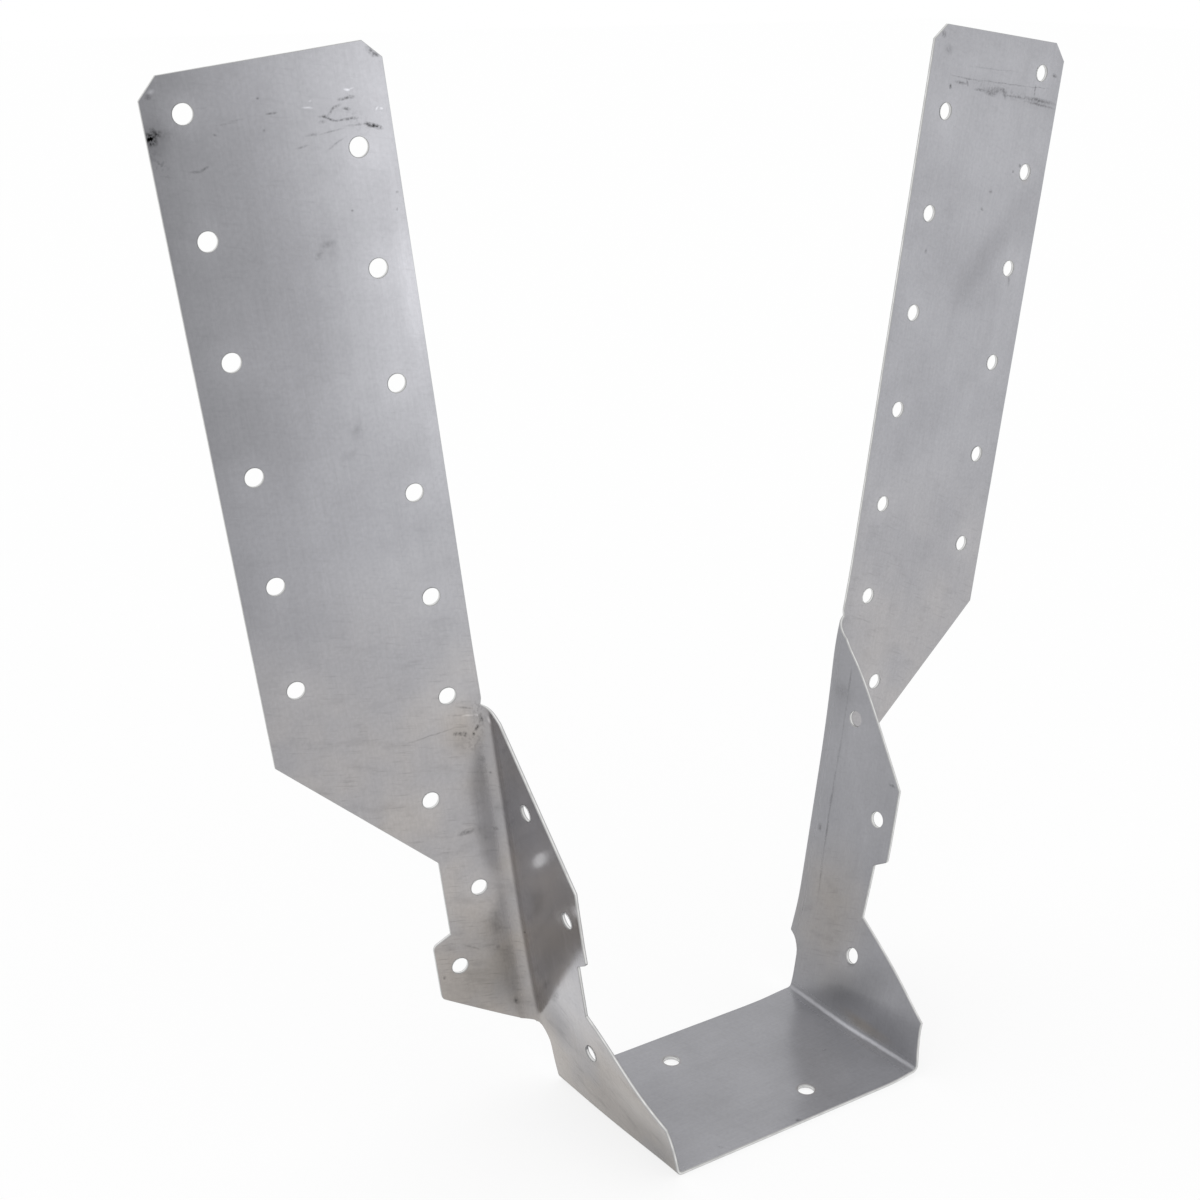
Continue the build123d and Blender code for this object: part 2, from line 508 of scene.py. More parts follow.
nail_spots = [folded_place(s, q) for s, q in nails]
nail_mesh = bpy.data.meshes.new("nail_points")
nail_mesh.from_pydata([tuple(here * mm) for here, _ in nail_spots], [], [])
nail_facing = nail_mesh.attributes.new("facing", "FLOAT_VECTOR", "POINT")
for i, (_, facing) in enumerate(nail_spots):
    nail_facing.data[i].vector = tuple(facing)
nail_points = add_object("nail_points", nail_mesh)
print("hole points:", len(nail_spots))

# %% [markdown]
# The dishing tree moves points only, so the punched edges stay round and the sheet stays one mesh. Its sizes are
# named inputs. A real dish is about a tenth of a millimetre deep, and shows only as a soft change of tone beside
# the hole.

# %% A tree that dishes the sheet round each hole
dimple_tree, given = new_tree("nail_dimples", [
    ("Nails", "NodeSocketObject", None),
    ("Hole Radius", "NodeSocketFloat", 0.0025),
    ("Width", "NodeSocketFloat", 0.006),
    ("Depth", "NodeSocketFloat", 0.0001),
    ("Steel", "NodeSocketMaterial", None),
])
holes_info = node(dimple_tree, "GeometryNodeObjectInfo", {"Object": given["Nails"]})
nearest = node(
    dimple_tree, "GeometryNodeProximity", {0: holes_info.outputs["Geometry"]}, target_element="POINTS"
)
dish_edge = math_node(dimple_tree, "ADD", given["Hole Radius"], given["Width"])
falloff = ramp(dimple_tree, nearest.outputs["Distance"], given["Hole Radius"], dish_edge, 1.0, 0.0)
amount = math_node(dimple_tree, "MULTIPLY", falloff, given["Depth"])
sheet_normal = node(dimple_tree, "GeometryNodeInputNormal").outputs[0]
push = node(dimple_tree, "ShaderNodeVectorMath", {0: sheet_normal, "Scale": amount}, operation="SCALE")
move = node(
    dimple_tree, "GeometryNodeSetPosition", {"Geometry": given["Geometry"], "Offset": push.outputs[0]}
)
with_halo = node(
    dimple_tree, "GeometryNodeStoreNamedAttribute",
    {"Geometry": move.outputs["Geometry"], "Name": "nail_halo", "Value": falloff},
    data_type="FLOAT", domain="POINT",
)
end_tree(dimple_tree, with_halo.outputs["Geometry"], given["Steel"])


# %% Dish the sheet
def set_input(modifier, input_name, value):
    """Set a tree's input by its socket's identifier."""
    for item in modifier.node_group.interface.items_tree:
        if item.item_type == "SOCKET" and item.in_out == "INPUT" and item.name == input_name:
            modifier[item.identifier] = value


def made_mesh(piece):
    """The piece's mesh with its modifiers applied, which then go."""
    graph = bpy.context.evaluated_depsgraph_get()
    result = bpy.data.meshes.new_from_object(piece.evaluated_get(graph))
    piece.modifiers.clear()
    return result


steel_front = bpy.data.materials.new("steel_front")
steel_back = bpy.data.materials.new("steel_back")
steel_edge = bpy.data.materials.new("steel_edge")
dimples = hanger.modifiers.new("nail_dimples", "NODES")
dimples.node_group = dimple_tree
set_input(dimples, "Nails", nail_points)
set_input(dimples, "Width", 0.0065)
set_input(dimples, "Depth", -0.00012)
set_input(dimples, "Steel", steel_front)
hanger.data = made_mesh(hanger)
print("dimpled sheet:", len(hanger.data.vertices), "points, attributes", [a.name for a in hanger.data.attributes])

# %% [markdown]
# The sheet gets its thickness now. Solidify and Bevel would do, but bevels on thousands of short edges cut into each
# other, and the sheared rim has a simple rule: both faces stop a little short of the edge, and a narrow slope joins
# each to the cut wall. So the rim is built straight from the loops of the open mesh, and its slope varies a little
# along the edge, as on a real shear cut. Outer face, inner face and rim get their own materials.


# %% Find the open edges and the way out of the sheet there
def sheet_normals(points, faces):
    """Area-weighted normal at each point."""
    spans = np.cross(points[faces[:, 1]] - points[faces[:, 0]], points[faces[:, 2]] - points[faces[:, 0]])
    normals = np.zeros_like(points)
    for corner in range(3):
        np.add.at(normals, faces[:, corner], spans)
    return normals / np.linalg.norm(normals, axis=1)[:, None].clip(1e-12)


def open_edges(faces):
    """Directed edges that only one triangle uses, in order."""
    directed = {(a, b) for f in faces.tolist() for a, b in zip(f, f[1:] + f[:1])}
    return np.array(sorted(edge for edge in directed if edge[::-1] not in directed))


middle = np.zeros(len(hanger.data.vertices) * 3)
hanger.data.vertices.foreach_get("co", middle)
middle = middle.reshape(-1, 3) / mm
halo = np.zeros(len(middle))
hanger.data.attributes["nail_halo"].data.foreach_get("value", halo)
normals = sheet_normals(middle, triangles)
rim = open_edges(triangles)
way_out = np.zeros_like(middle)
for a, b in rim:
    out = np.cross(middle[b] - middle[a], normals[a] + normals[b])
    out /= np.linalg.norm(out)
    way_out[a] += out
    way_out[b] += out
way_out /= np.linalg.norm(way_out, axis=1)[:, None].clip(1e-12)
on_rim = np.unique(rim)
print("open edges:", len(rim), "round", len(nails), "holes and the outline")

# %% [markdown]
# A shear leaves a rolled lip on one side, a bright cut band and a torn band. A slope of about 0.11 mm stands for the
# rolled lip, and a value that runs across the wall is kept for the bands. Each face has all the points of the middle
# surface, moved out by half the thickness, and the wall has two more points for each point of the rim.

# %% Give the sheet its thickness
rng = np.random.default_rng(11)
edge_slope = 0.11
slope_change = 0.04
wave_count = 6
waves = rng.uniform(0.1, 0.6, (wave_count, 2)), rng.uniform(0, 6.28, wave_count)
wander = sum(np.sin(places @ wave + phase) for wave, phase in zip(*waves)) / wave_count
slope = (edge_slope + slope_change * wander)[:, None]
half = sheet / 2
outer_points = middle + normals * half - way_out * slope
inner_points = middle - normals * half - way_out * slope
upper_wall = (middle + normals * (half - slope))[on_rim]
lower_wall = (middle - normals * (half - slope))[on_rim]
points = np.vstack([outer_points, inner_points, upper_wall, lower_wall]) * mm

count = len(middle)
faces = triangles.tolist() + (triangles[:, ::-1] + count).tolist()
outer_kind, inner_kind, rim_kind = 0, 1, 2
kinds = [outer_kind] * len(triangles) + [inner_kind] * len(triangles)
rim_index = np.full(count, -1)
rim_index[on_rim] = np.arange(len(on_rim))
upper, lower = 2 * count, 2 * count + len(on_rim)
for a, b in rim.tolist():
    ua, ub = int(upper + rim_index[a]), int(upper + rim_index[b])
    la, lb = int(lower + rim_index[a]), int(lower + rim_index[b])
    faces += [(ua, ub, b, a), (la, lb, ub, ua), (count + a, count + b, lb, la)]
    kinds += [rim_kind] * 3
owner = np.concatenate([np.arange(count), np.arange(count), on_rim, on_rim])
print("thick sheet:", len(points), "points, edge slope in mm from", slope.min().round(3), "to", slope.max().round(3))

# %% [markdown]
# The mesh also carries the flat blank as its UV map, in metres. Everything that is drawn on the sheet later is placed
# by it, so the grain and the marks run round the folds as they do on the real strip.

# %% Make the thick mesh
sharp_turn = math.radians(32)
thick_mesh = bpy.data.meshes.new("hanger_sheet_thick")
thick_mesh.from_pydata(points.tolist(), [], faces)
thick_mesh.update()
for material in (steel_front, steel_back, steel_edge):
    thick_mesh.materials.append(material)
thick_mesh.polygons.foreach_set("material_index", kinds)
corner_points = np.zeros(len(thick_mesh.loops), np.int32)
thick_mesh.loops.foreach_get("vertex_index", corner_points)
flat_uv = thick_mesh.uv_layers.new(name="flat_blank")
flat_uv.data.foreach_set("uv", (places[owner[corner_points]] * mm).ravel())
hanger.data = thick_mesh
thick_mesh.shade_smooth()
thick_mesh.set_sharp_from_angle(angle=sharp_turn)
facing_up = [f for f in thick_mesh.polygons if f.normal.z > 0.9 and abs(f.center.x) < 30 * mm]
seat_top = max(facing_up, key=lambda f: f.center.z)
top_material = thick_mesh.materials[seat_top.material_index]
print("thick mesh:", len(thick_mesh.polygons), "faces; the seat's upper face is", top_material.name)

# %% [markdown]
# On the far side the punch leaves a thin raised lip. One lip is a swept ring, and a second tree sets a copy on every
# hole, turned to the sheet and each a little different.

# %% A tree that sets a lip on each hole
lip_tree, given = new_tree("punched_lips", [
    ("Lip Radius", "NodeSocketFloat", 0.00256),
    ("Lip Thickness", "NodeSocketFloat", 0.00007),
    ("Sheet Half", "NodeSocketFloat", 0.0005),
    ("Seed", "NodeSocketInt", 7),
    ("Steel", "NodeSocketMaterial", None),
])
lip_path = node(lip_tree, "GeometryNodeCurvePrimitiveCircle", {"Resolution": 28, "Radius": given["Lip Radius"]})
lip_round = node(lip_tree, "GeometryNodeCurvePrimitiveCircle", {"Resolution": 6, "Radius": given["Lip Thickness"]})
one_lip = node(
    lip_tree, "GeometryNodeCurveToMesh",
    {"Curve": lip_path.outputs["Curve"], "Profile Curve": lip_round.outputs["Curve"]},
)
to_points = node(lip_tree, "GeometryNodeMeshToPoints", {"Mesh": given["Geometry"]})
facing = node(
    lip_tree, "GeometryNodeInputNamedAttribute", {"Name": "facing"}, data_type="FLOAT_VECTOR"
).outputs["Attribute"]
lift = node(lip_tree, "ShaderNodeVectorMath", {0: facing, "Scale": given["Sheet Half"]}, operation="SCALE")
raised = node(
    lip_tree, "GeometryNodeSetPosition", {"Geometry": to_points.outputs["Points"], "Offset": lift.outputs[0]}
)
align = node(lip_tree, "FunctionNodeAlignRotationToVector", {"Vector": facing}, axis="Z")
varied = node(
    lip_tree, "FunctionNodeRandomValue",
    {0: (0.99, 0.99, 0.6), 1: (1.01, 1.01, 1.3), "Seed": given["Seed"]},
    data_type="FLOAT_VECTOR",
)
scatter = node(lip_tree, "GeometryNodeInstanceOnPoints", {
    "Points": raised.outputs["Geometry"],
    "Instance": one_lip.outputs["Mesh"],
    "Rotation": align.outputs["Rotation"],
    "Scale": varied.outputs[0],
})
end_tree(lip_tree, scatter.outputs["Instances"], given["Steel"])

# %% Set the lips
lip_maker = nail_points.modifiers.new("punched_lips", "NODES")
lip_maker.node_group = lip_tree
set_input(lip_maker, "Seed", 7)
set_input(lip_maker, "Steel", steel_edge)
lip_mesh = made_mesh(nail_points)
lip_mesh.materials.clear()
lip_mesh.materials.append(steel_edge)
lip_mesh.polygons.foreach_set("material_index", np.zeros(len(lip_mesh.polygons), np.int32))
lip_mesh.shade_smooth()
lips = add_object("punched_lips", lip_mesh)
bpy.data.objects.remove(nail_points)
print("lips:", len(lip_mesh.polygons), "faces, materials", [m.name for m in lip_mesh.materials])

# %% [markdown]
# The sheet and its lips belong to the one fixed body. The sheet takes the place of the plain node, which is hidden.

# %% Let the pieces ride
for piece in (hanger, lips):
    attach(piece, "root")
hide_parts("hanger_body")

# %% [markdown]
# Mill-finish stainless is a plain grey metal with a soft sheen. What makes it real is small: grain along the rolling
# direction, cloudy patches, and years of handling. All of it is placed on the flat blank, so it follows the folds.
# Marks come in two sizes. A scratch, or a painted highlight line, is finer than the mesh, so it is worked out in the
# material, as a soft stroke between two points of the blank. A stain, or a patch of painted light or shade, is wider
# than the mesh, so it is worked out once at each point and stored.


# %% Fine marks as nodes, wide ones as an attribute
def fine_marks(tree, blank, marks, lengthened=0.65, widened=1.3):
    """Sum of thin soft strokes. A stroke is s and q of its start and of its end, its half width and its amount.

    Each is a spherical gradient, which fades to nothing at its rim, so it is drawn longer and wider than the mark.
    """
    total = 0.0
    for s_start, q_start, s_end, q_end, width, amount in marks:
        length = math.hypot(s_end - s_start, q_end - q_start)
        spot = node(tree, "ShaderNodeMapping", {
            "Location": ((s_start + s_end) / 2 * mm, (q_start + q_end) / 2 * mm, 0),
            "Rotation": (0, 0, math.atan2(q_end - q_start, s_end - s_start)),
            "Scale": ((lengthened * length + width) * mm, widened * width * mm, 1),
            "Vector": blank,
        }, vector_type="TEXTURE")
        soft = node(tree, "ShaderNodeTexGradient", {"Vector": spot.outputs["Vector"]}, gradient_type="SPHERICAL")
        total = math_node(tree, "MULTIPLY_ADD", soft.outputs["Fac"], amount, total)
    return total


def wide_patches(marks, s, q):
    """Sum of wide soft patches at each point. A patch is s, q, half length, half width, turn, core and amount."""
    total = np.zeros(len(s))
    for patch_s, patch_q, half_s, half_q, turn, core, amount in marks:
        c, d = math.cos(math.radians(turn)), math.sin(math.radians(turn))
        a = ((s - patch_s) * c + (q - patch_q) * d) / half_s
        b = ((q - patch_q) * c - (s - patch_s) * d) / half_q
        total += amount * (1 - ease(np.hypot(a, b), core, 1))
    return total


# %% [markdown]
# The marks were found in the photograph and placed on the blank in millimetres. Scratches and bright rubs are
# strokes, and so is speckled dirt, which a fine noise breaks up. Stains, painted shade and painted reflections, and
# warm places are wide soft patches, and a patch with a negative amount is a lighter place. The outer face of the
# straps, the flanges and the left cheek has most of them.

# %% Scratches on the outer face
outer_scratches = [
    (-342.3, -34.3, -342.3, -34.1, 0.35, 0.5),
    (-338.3, -32.8, -338.2, -30.3, 0.3, 0.45),
    (-338.2, -41.9, -338.3, -38.1, 0.25, 0.15),
    (-342.3, -48.7, -342.2, -46.6, 0.25, 0.12),
    (-337.7, -45.7, -337.8, -40.1, 0.22, 0.12),
    (-328.3, -53.1, -328.2, -50.8, 0.35, 0.25),
    (-328.4, -50.8, -328.9, -49.1, 0.35, 0.35),
    (-338.6, -14.4, -338.7, -12.4, 0.45, 0.5),
    (-338.8, -12.6, -338.6, -10.7, 0.45, 0.4),
    (-336.3, -13.5, -336.0, -12.4, 0.45, 0.5),
    (-336.8, -16.7, -337.3, -14.4, 0.4, 0.35),
    (-335.6, -17.6, -336.8, -16.3, 0.35, 0.3),
    (-335.4, -20.1, -335.2, -17.9, 0.45, 0.35),
    (-335.2, -18.9, -333.8, -16.2, 0.35, 0.55),
    (-333.9, -16.2, -333.8, -14.0, 0.3, 0.4),
    (-333.8, -14.0, -333.6, -10.9, 0.4, 0.5),
    (-334.0, -20.1, -334.3, -19.0, 0.5, 0.3),
    (-331.8, -8.7, -331.0, -6.8, 0.6, 0.7),
    (-331.1, -7.0, -330.1, -5.0, 0.55, 0.65),
    (-332.3, -14.3, -331.8, -8.7, 0.3, 0.22),
    (-331.7, -24.1, -331.6, -21.7, 0.4, 0.3),
    (-331.4, -20.8, -331.8, -14.9, 0.25, 0.25),
    (-329.2, -27.0, -329.3, -24.3, 0.3, 0.25),
    (-327.4, -19.5, -329.5, -14.8, 0.28, 0.22),
    (-334.7, -34.1, -334.5, -34.0, 0.4, 0.25),
    (-335.8, -46.1, -335.6, -45.8, 0.35, 0.3),
    (-312.0, -15.8, -311.9, -15.6, 0.35, 0.35),
    (-314.3, -3.6, -314.3, -3.3, 0.35, 0.4),
    (-310.2, -4.4, -310.0, -4.3, 0.35, 0.4),
    (-302.6, -26.7, -303.5, -25.3, 0.8, 0.18),
    (-305.0, -24.8, -305.3, -22.0, 0.9, 0.16),
    (-338.3, -61.3, -336.5, -60.3, 1, 0.75),
    (-338.3, -60.2, -338.2, -58.9, 0.8, 0.6),
    (-339.6, -60.4, -339.1, -60.0, 0.6, 0.5),
    (-338.1, -61.5, -336.3, -61.4, 0.9, 0.6),
    (-337.6, -59.0, -337.8, -56.2, 1.3, 0.15),
    (-346.7, -60.0, -347.0, -59.3, 0.7, 0.35),
    (-349.1, -5.2, -347.5, -4.0, 0.9, 0.45),
    (-347.5, -4.0, -347.2, -2.9, 0.6, 0.4),
    (337.0, -11.8, 336.6, -24.5, 0.25, 0.3),
    (336.9, -24.4, 337.1, -48.7, 0.22, 0.28),
    (337.1, -48.7, 337.5, -56.5, 0.22, 0.25),
    (335.4, -13.5, 335.3, -18.3, 0.5, 0.4),
    (336.2, -18.5, 334.9, -19.3, 0.45, 0.45),
    (334.1, -22.9, 334.2, -26.9, 0.5, 0.4),
    (334.2, -26.9, 334.8, -36.1, 1, 0.3),
    (333.5, -28.0, 333.4, -32.4, 0.7, 0.3),
    (335.0, -35.6, 332.9, -37.1, 0.7, 0.35),
    (333.7, -36.4, 333.5, -46.9, 0.4, 0.3),
    (333.8, -46.9, 333.2, -60.1, 0.7, 0.45),
    (332.7, -47.6, 331.8, -60.5, 0.45, 0.4),
    (337.8, -50.4, 335.0, -50.7, 0.4, 0.5),
    (334.1, -11.4, 333.6, -11.7, 0.6, 0.6),
    (340.4, -19.2, 340.9, -41.2, 0.2, 0.15),
    (341.7, -57.7, 341.3, -59.3, 0.6, 0.5),
    (344.4, -7.5, 343.8, -9.3, 1.4, 0.2),
    (348.7, -4.7, 347.7, -5.8, 0.8, 0.45),
    (311.5, -46.5, 311.4, -46.7, 0.45, 0.5),
    (313.5, -49.1, 313.3, -49.7, 0.5, 0.5),
    (305.0, -37.2, 304.8, -38.0, 0.7, 0.3),
    (299.6, -34.5, 299.1, -35.3, 0.5, 0.35),
    (285.5, -12.0, 285.2, -12.5, 0.6, 0.35),
    (279.4, -53.2, 276.7, -53.7, 0.7, 0.3),
    (-166.5, -25.3, -166.6, -9.8, 0.25, 0.24),
    (-165.0, -3.8, -164.2, -4.6, 0.6, 0.6),
    (-167.4, -2.4, -166.3, -2.2, 0.7, 0.55),
    (-164.4, -9.7, -164.0, -9.4, 0.6, 0.55),
    (-164.3, -8.3, -163.2, -8.1, 0.6, 0.6),
    (-164.9, -11.1, -164.7, -10.4, 0.6, 0.45),
    (-163.1, -5.7, -162.6, -5.5, 0.5, 0.5),
    (-172.8, -9.2, -170.7, -4.7, 0.3, 0.3),
    (-133.6, -14.2, -133.5, -10.6, 0.9, 0.4),
    (-155.0, -4.6, -154.0, -3.6, 0.9, 0.25),
    (-149.7, -2.1, -149.5, -2.0, 0.4, 0.4),
    (-131.8, -3.7, -131.0, -2.4, 0.5, 0.35),
    (-104.3, -8.1, -102.0, -7.3, 2, 0.18),
    (-100.8, -8.2, -98.4, -7.1, 1.6, 0.2),
    (-97.8, -18.5, -94.3, -13.9, 0.4, 0.22),
    (-93.1, -8.6, -92.7, -8.3, 0.5, 0.55),
    (-95.9, 1.7, -96.4, 3.7, 0.3, 0.5),
    (-73.3, -5.7, -71.6, -5.5, 0.7, 0.5),
    (-89.3, -26.0, -89.0, -25.9, 0.5, 0.4),
    (-77.5, 13.9, -81.6, 17.2, 1.3, 0.25),
    (170.6, -5.7, 167.5, -14.6, 0.3, 0.15),
]
print("outer face:", len(outer_scratches), "scratches")

# %% Bright rubs on the outer face
outer_shine = [
    (-340.6, -12.8, -340.3, -11.8, 0.3, 0.7),
    (-340.4, -11.8, -340.8, -10.6, 0.2, 0.3),
    (-338.1, -23.7, -337.8, -21.5, 0.25, 0.5),
    (-339.3, -22.0, -339.4, -21.5, 0.25, 0.3),
    (-334.7, -5.7, -335.1, -5.2, 0.3, 0.5),
    (-334.7, -4.5, -334.6, -4.1, 0.3, 0.5),
    (-347.8, -59.1, -348.0, -58.4, 0.6, 0.5),
    (-169.5, -8.0, -168.7, -5.3, 0.3, 0.4),
    (-168.6, -4.3, -168.0, -2.6, 0.3, 0.4),
    (-166.7, 0.7, -165.5, 1.2, 0.8, 0.8),
]
print("outer face:", len(outer_shine), "bright rubs")

# %% Stains, painted light and shade, dirt and warm places on the outer face
outer_stains_and_painted_light = [
    (-304.4, -22.9, 5.0, 2.4, 30, 0.1, 0.10),
    (-257.0, -24.4, 3.0, 2.0, 20, 0.2, 0.18),
    (-250.8, -27.0, 2.2, 2.2, 0, 0.2, 0.14),
    (-337.0, -60.5, 7.0, 5.5, 0, 0.0, 0.26),
    (-341.7, -52.4, 6.5, 7.5, 0, 0.2, -0.09),
    (-70.0, 11.0, 13.0, 15.0, 0, 0.1, 0.26),
    (-101.0, -8.4, 4.6, 2.6, 20, 0.1, 0.12),
    (-80.0, -9.0, 16.0, 8.0, 10, 0.0, 0.16),
    (-150.0, -7.0, 14.0, 5.0, 0, 0.0, 0.14),
    (285.0, -40.0, 8.0, 34.0, 52, 0.1, 0.12),
    (325.0, -30.0, 40.0, 60.0, 0, 0.0, -0.07),
    (-163.0, -9.0, 8.0, 6.5, 0, 0.0, 0.08),
    # Painted reflection: a lighter band along the left strap's inner edge near its top.
    (-293.0, -3.0, 30.0, 6.0, 0, 0.0, -0.18),
    (-300.0, -22.0, 34.0, 40.0, 0, 0.0, 0.05),
    (-232.0, -5.0, 34.0, 18.0, 0, 0.0, 0.12),
    # Painted shade: the lower left flange is darker here, standing in for its reflection of the shaded floor.
    (-88.0, -14.0, 34.0, 28.0, 0, 0.0, 0.15),
    (-118.0, -5.0, 62.0, 6.0, 0, 0.0, 0.10),
    (-66.0, 22.0, 16.0, 32.0, 0, 0.0, 0.12),
    # Painted reflection: the lighter band goes on down the strap's inner edge.
    (-240.0, -2.6, 34.0, 4.0, 0, 0.0, -0.04),
    (-50.0, 40.0, 26.0, 64.0, 0, 0.0, 0.30),
    (-49.0, 66.0, 20.0, 34.0, 0, 0.0, 0.16),
    # Painted light: a lighter patch on the left cheek.
    (-95.0, 18.0, 60.0, 30.0, 0, 0.2, -0.17),
    # Painted shade, like the patch at s -88 on the lower left flange.
    (-85.0, -20.0, 20.0, 14.0, 0, 0.0, 0.08),
]
outer_dirt = [
    (-334.0, -61.0, -329.0, -59.0, 2.0, 0.3),
    (-338.0, -16.0, -329.0, -7.0, 3.2, 0.16),
    (337.5, -14.0, 331.5, -61.0, 2.2, 0.22),
    (-172.0, -3.0, -164.0, -3.0, 3.0, 0.3),
    (-163.0, -9.0, -158.0, -4.0, 4.0, 0.2),
]
outer_warm = [
    (-165.0, -8.6, 12.0, 9.0, 0, 0.0, 0.6),
    (-85.0, -14.0, 34.0, 26.0, 0, 0.2, 0.4),
    (-52.0, 50.0, 3.0, 3.4, 0, 0.1, 0.5),
    (-50.0, 42.0, 28.0, 62.0, 0, 0.2, 0.5),
    (310.5, -53.0, 3.0, 3.0, 0, 0.1, 0.7),
]
print("outer face:", len(outer_stains_and_painted_light), "stains,", len(outer_dirt), "dirty and", len(outer_warm), "warm places")

# %% [markdown]
# The inner face was kept from most of the handling. It has the long rub down the right cheek and two small marks on
# the seat. A painted highlight runs along each of the seat's corners, and a few soft patches on the seat and the
# right cheek are painted shade and painted light.

# %% Marks on the inner face: seat and right cheek
inner_scratches = [
    (156.4, 10.4, 147.5, 10.4, 0.35, 0.3),
    (147.5, 10.4, 133.9, 10.2, 0.3, 0.2),
    (133.9, 10.2, 123.1, 9.8, 0.4, 0.25),
    (123.1, 9.8, 117.1, 9.7, 0.4, 0.2),
    (117.1, 9.7, 108.9, 9.7, 0.5, 0.38),
    (108.9, 9.7, 96.1, 10.1, 0.45, 0.42),
    (96.1, 10.1, 78.4, 10.7, 0.4, 0.25),
    (102.5, 6.3, 101.0, 6.9, 0.8, 0.45),
    (126.2, 33.1, 126.1, 35.3, 0.4, 0.45),
    (148.2, 5.6, 148.2, 9.3, 3, 0.16),
    (64.9, 30.5, 65.5, 32.1, 0.9, 0.6),
    (0.1, 64.7, 0.6, 65.0, 0.6, 0.8),
    (-27.0, 61.6, -26.2, 62.9, 0.4, 0.2),
    (30.3, 40.9, 31.5, 40.8, 0.6, 0.2),
]
# Painted highlights: a bright line along each corner of the seat, where the fold would catch the light.
inner_painted_fold_highlight = [
    (44.5, 4.0, 44.5, 70.0, 0.8, 0.7),
    (-44.5, 8.0, -44.5, 64.0, 0.7, 0.3),
]
inner_painted_light_and_stains = [
    # Painted shade, in this and the next patch: a dark band up the right cheek beside the seat's corner, where it
    # reflects the seat.
    (56.0, 33.0, 11.0, 28.0, -38, 0.0, 0.33),
    (52.0, 50.0, 9.0, 18.0, 0, 0.0, 0.12),
    (14.0, 30.0, 20.0, 12.0, 20, 0.0, 0.05),
    (-18.0, 46.0, 20.0, 10.0, -20, 0.0, 0.04),
    (30.0, 20.0, 12.0, 12.0, 0, 0.0, 0.05),
    # Painted light: a lighter patch on the seat near its right corner, against its darker reflection of the right
    # cheek.
    (34.0, 42.0, 14.0, 34.0, 0, 0.2, -0.08),
    (146.0, 6.0, 18.0, 10.0, 0, 0.0, 0.10),
    (112.0, 24.0, 26.0, 3.5, -28, 0.0, -0.05),
    (74.0, 16.0, 22.0, 12.0, 0, 0.0, 0.03),
]
inner_dirt = [
    (60.0, 20.0, 50.0, 42.0, 4.0, 0.12),
]
inner_warm = [
    (48.4, 43.0, 3.0, 16.0, 0, 0.2, 0.9),
    (75.0, 16.0, 34.0, 26.0, 0, 0.1, 0.75),
    (-12.3, 19.4, 3.6, 3.6, 0, 0.7, 0.5),
    (12.3, 54.1, 3.6, 3.6, 0, 0.7, 0.5),
]
print("inner face:", len(inner_scratches), "scratches,", len(inner_painted_light_and_stains), "stains,", len(inner_warm), "warm places")

# %% [markdown]
# Five values are stored on the sheet: how light the stains and the painted light and shade leave it, how warm the
# handling has made it, how near a hole it is, which side of the cut wall it is on, and how far the folds have
# stretched and dulled it. The left strap is painted lighter toward its inner edge, a painted reflection, and the
# hanger is warmer round the flanges, where it was held and rubbed.

# %% Work out the wide changes at each point
s_all, q_all = places[owner].T
rim_count = len(on_rim)
on_inner = np.concatenate([np.zeros(count), np.ones(count), np.zeros(rim_count), np.ones(rim_count)]) > 0
# Painted reflection: the left strap's tone is painted lighter toward its inner edge, where the sheet would catch a
# brighter reflection.
strap_middle, strap_half, painted_sheen_strength = 31, 29, 0.45
strap_painted_sheen = np.exp(painted_sheen_strength * ease(-s_all, 120, 330) * (np.minimum(q_all, 0) + strap_middle) / strap_half)
strap_painted_sheen = 1 + (strap_painted_sheen - 1) * ease(-q_all, -1, 3)
outer_shade = strap_painted_sheen * (1 - wide_patches(outer_stains_and_painted_light, s_all, q_all))
inner_shade = 1 - wide_patches(inner_painted_light_and_stains, s_all, q_all)
left_handled = 0.62 * ease(s_all, -235, -135) * (1 - 0.6 * ease(q_all, 1, 8) * ease(-s_all, 66, 84))
handled = np.where(s_all < 0, left_handled, 0.35 * ease(-s_all, -240, -150))
outer_warmth = handled + wide_patches(outer_warm, s_all, q_all)
flange_strain = hump(q_all, 0, 3.2) * ease(np.abs(s_all), 58, 62) * ease(-np.abs(s_all), -175, -169)
seat_strain = hump(np.abs(s_all), half_seat, 1.4)

# %% Store the values on the sheet
stored_values = {
    "shade": np.where(on_inner, inner_shade, outer_shade),
    "warmth": np.where(on_inner, wide_patches(inner_warm, s_all, q_all), outer_warmth),
    "nail_halo": halo[owner],
    "depth": np.where(on_inner, 0.0, 1.0),
    "strain": np.maximum(flange_strain, seat_strain),
}
for name, value in stored_values.items():
    stored = thick_mesh.attributes.new(name, "FLOAT", "POINT")
    stored.data.foreach_set("value", value.astype(np.float32))
    print(name, "runs from", round(value.min(), 2), "to", round(value.max(), 2))

# %% [markdown]
# The bare sheet's tone is multiplied up from four thin layers, each of a few percent: grain along the strip, slow
# streaks, clouds and pores. The noise is measured on the flat blank and stretched along the strip, because the rolls
# drew the steel out that way.

# %% The mill finish
grain_low, grain_high = 0.972, 1.028


def stored_value(tree, name):
    """A value that is stored on the sheet."""
    return node(tree, "ShaderNodeAttribute", attribute_name=name).outputs["Fac"]


def noise(tree, vector, scale, detail, stretch=None):
    """A noise texture on the flat blank, in metres, stretched where the grain runs."""
    if stretch:
        vector = node(tree, "ShaderNodeMapping", {"Scale": stretch, "Vector": vector}).outputs["Vector"]
    return node(tree, "ShaderNodeTexNoise", {"Scale": scale, "Detail": detail, "Vector": vector}).outputs["Fac"]


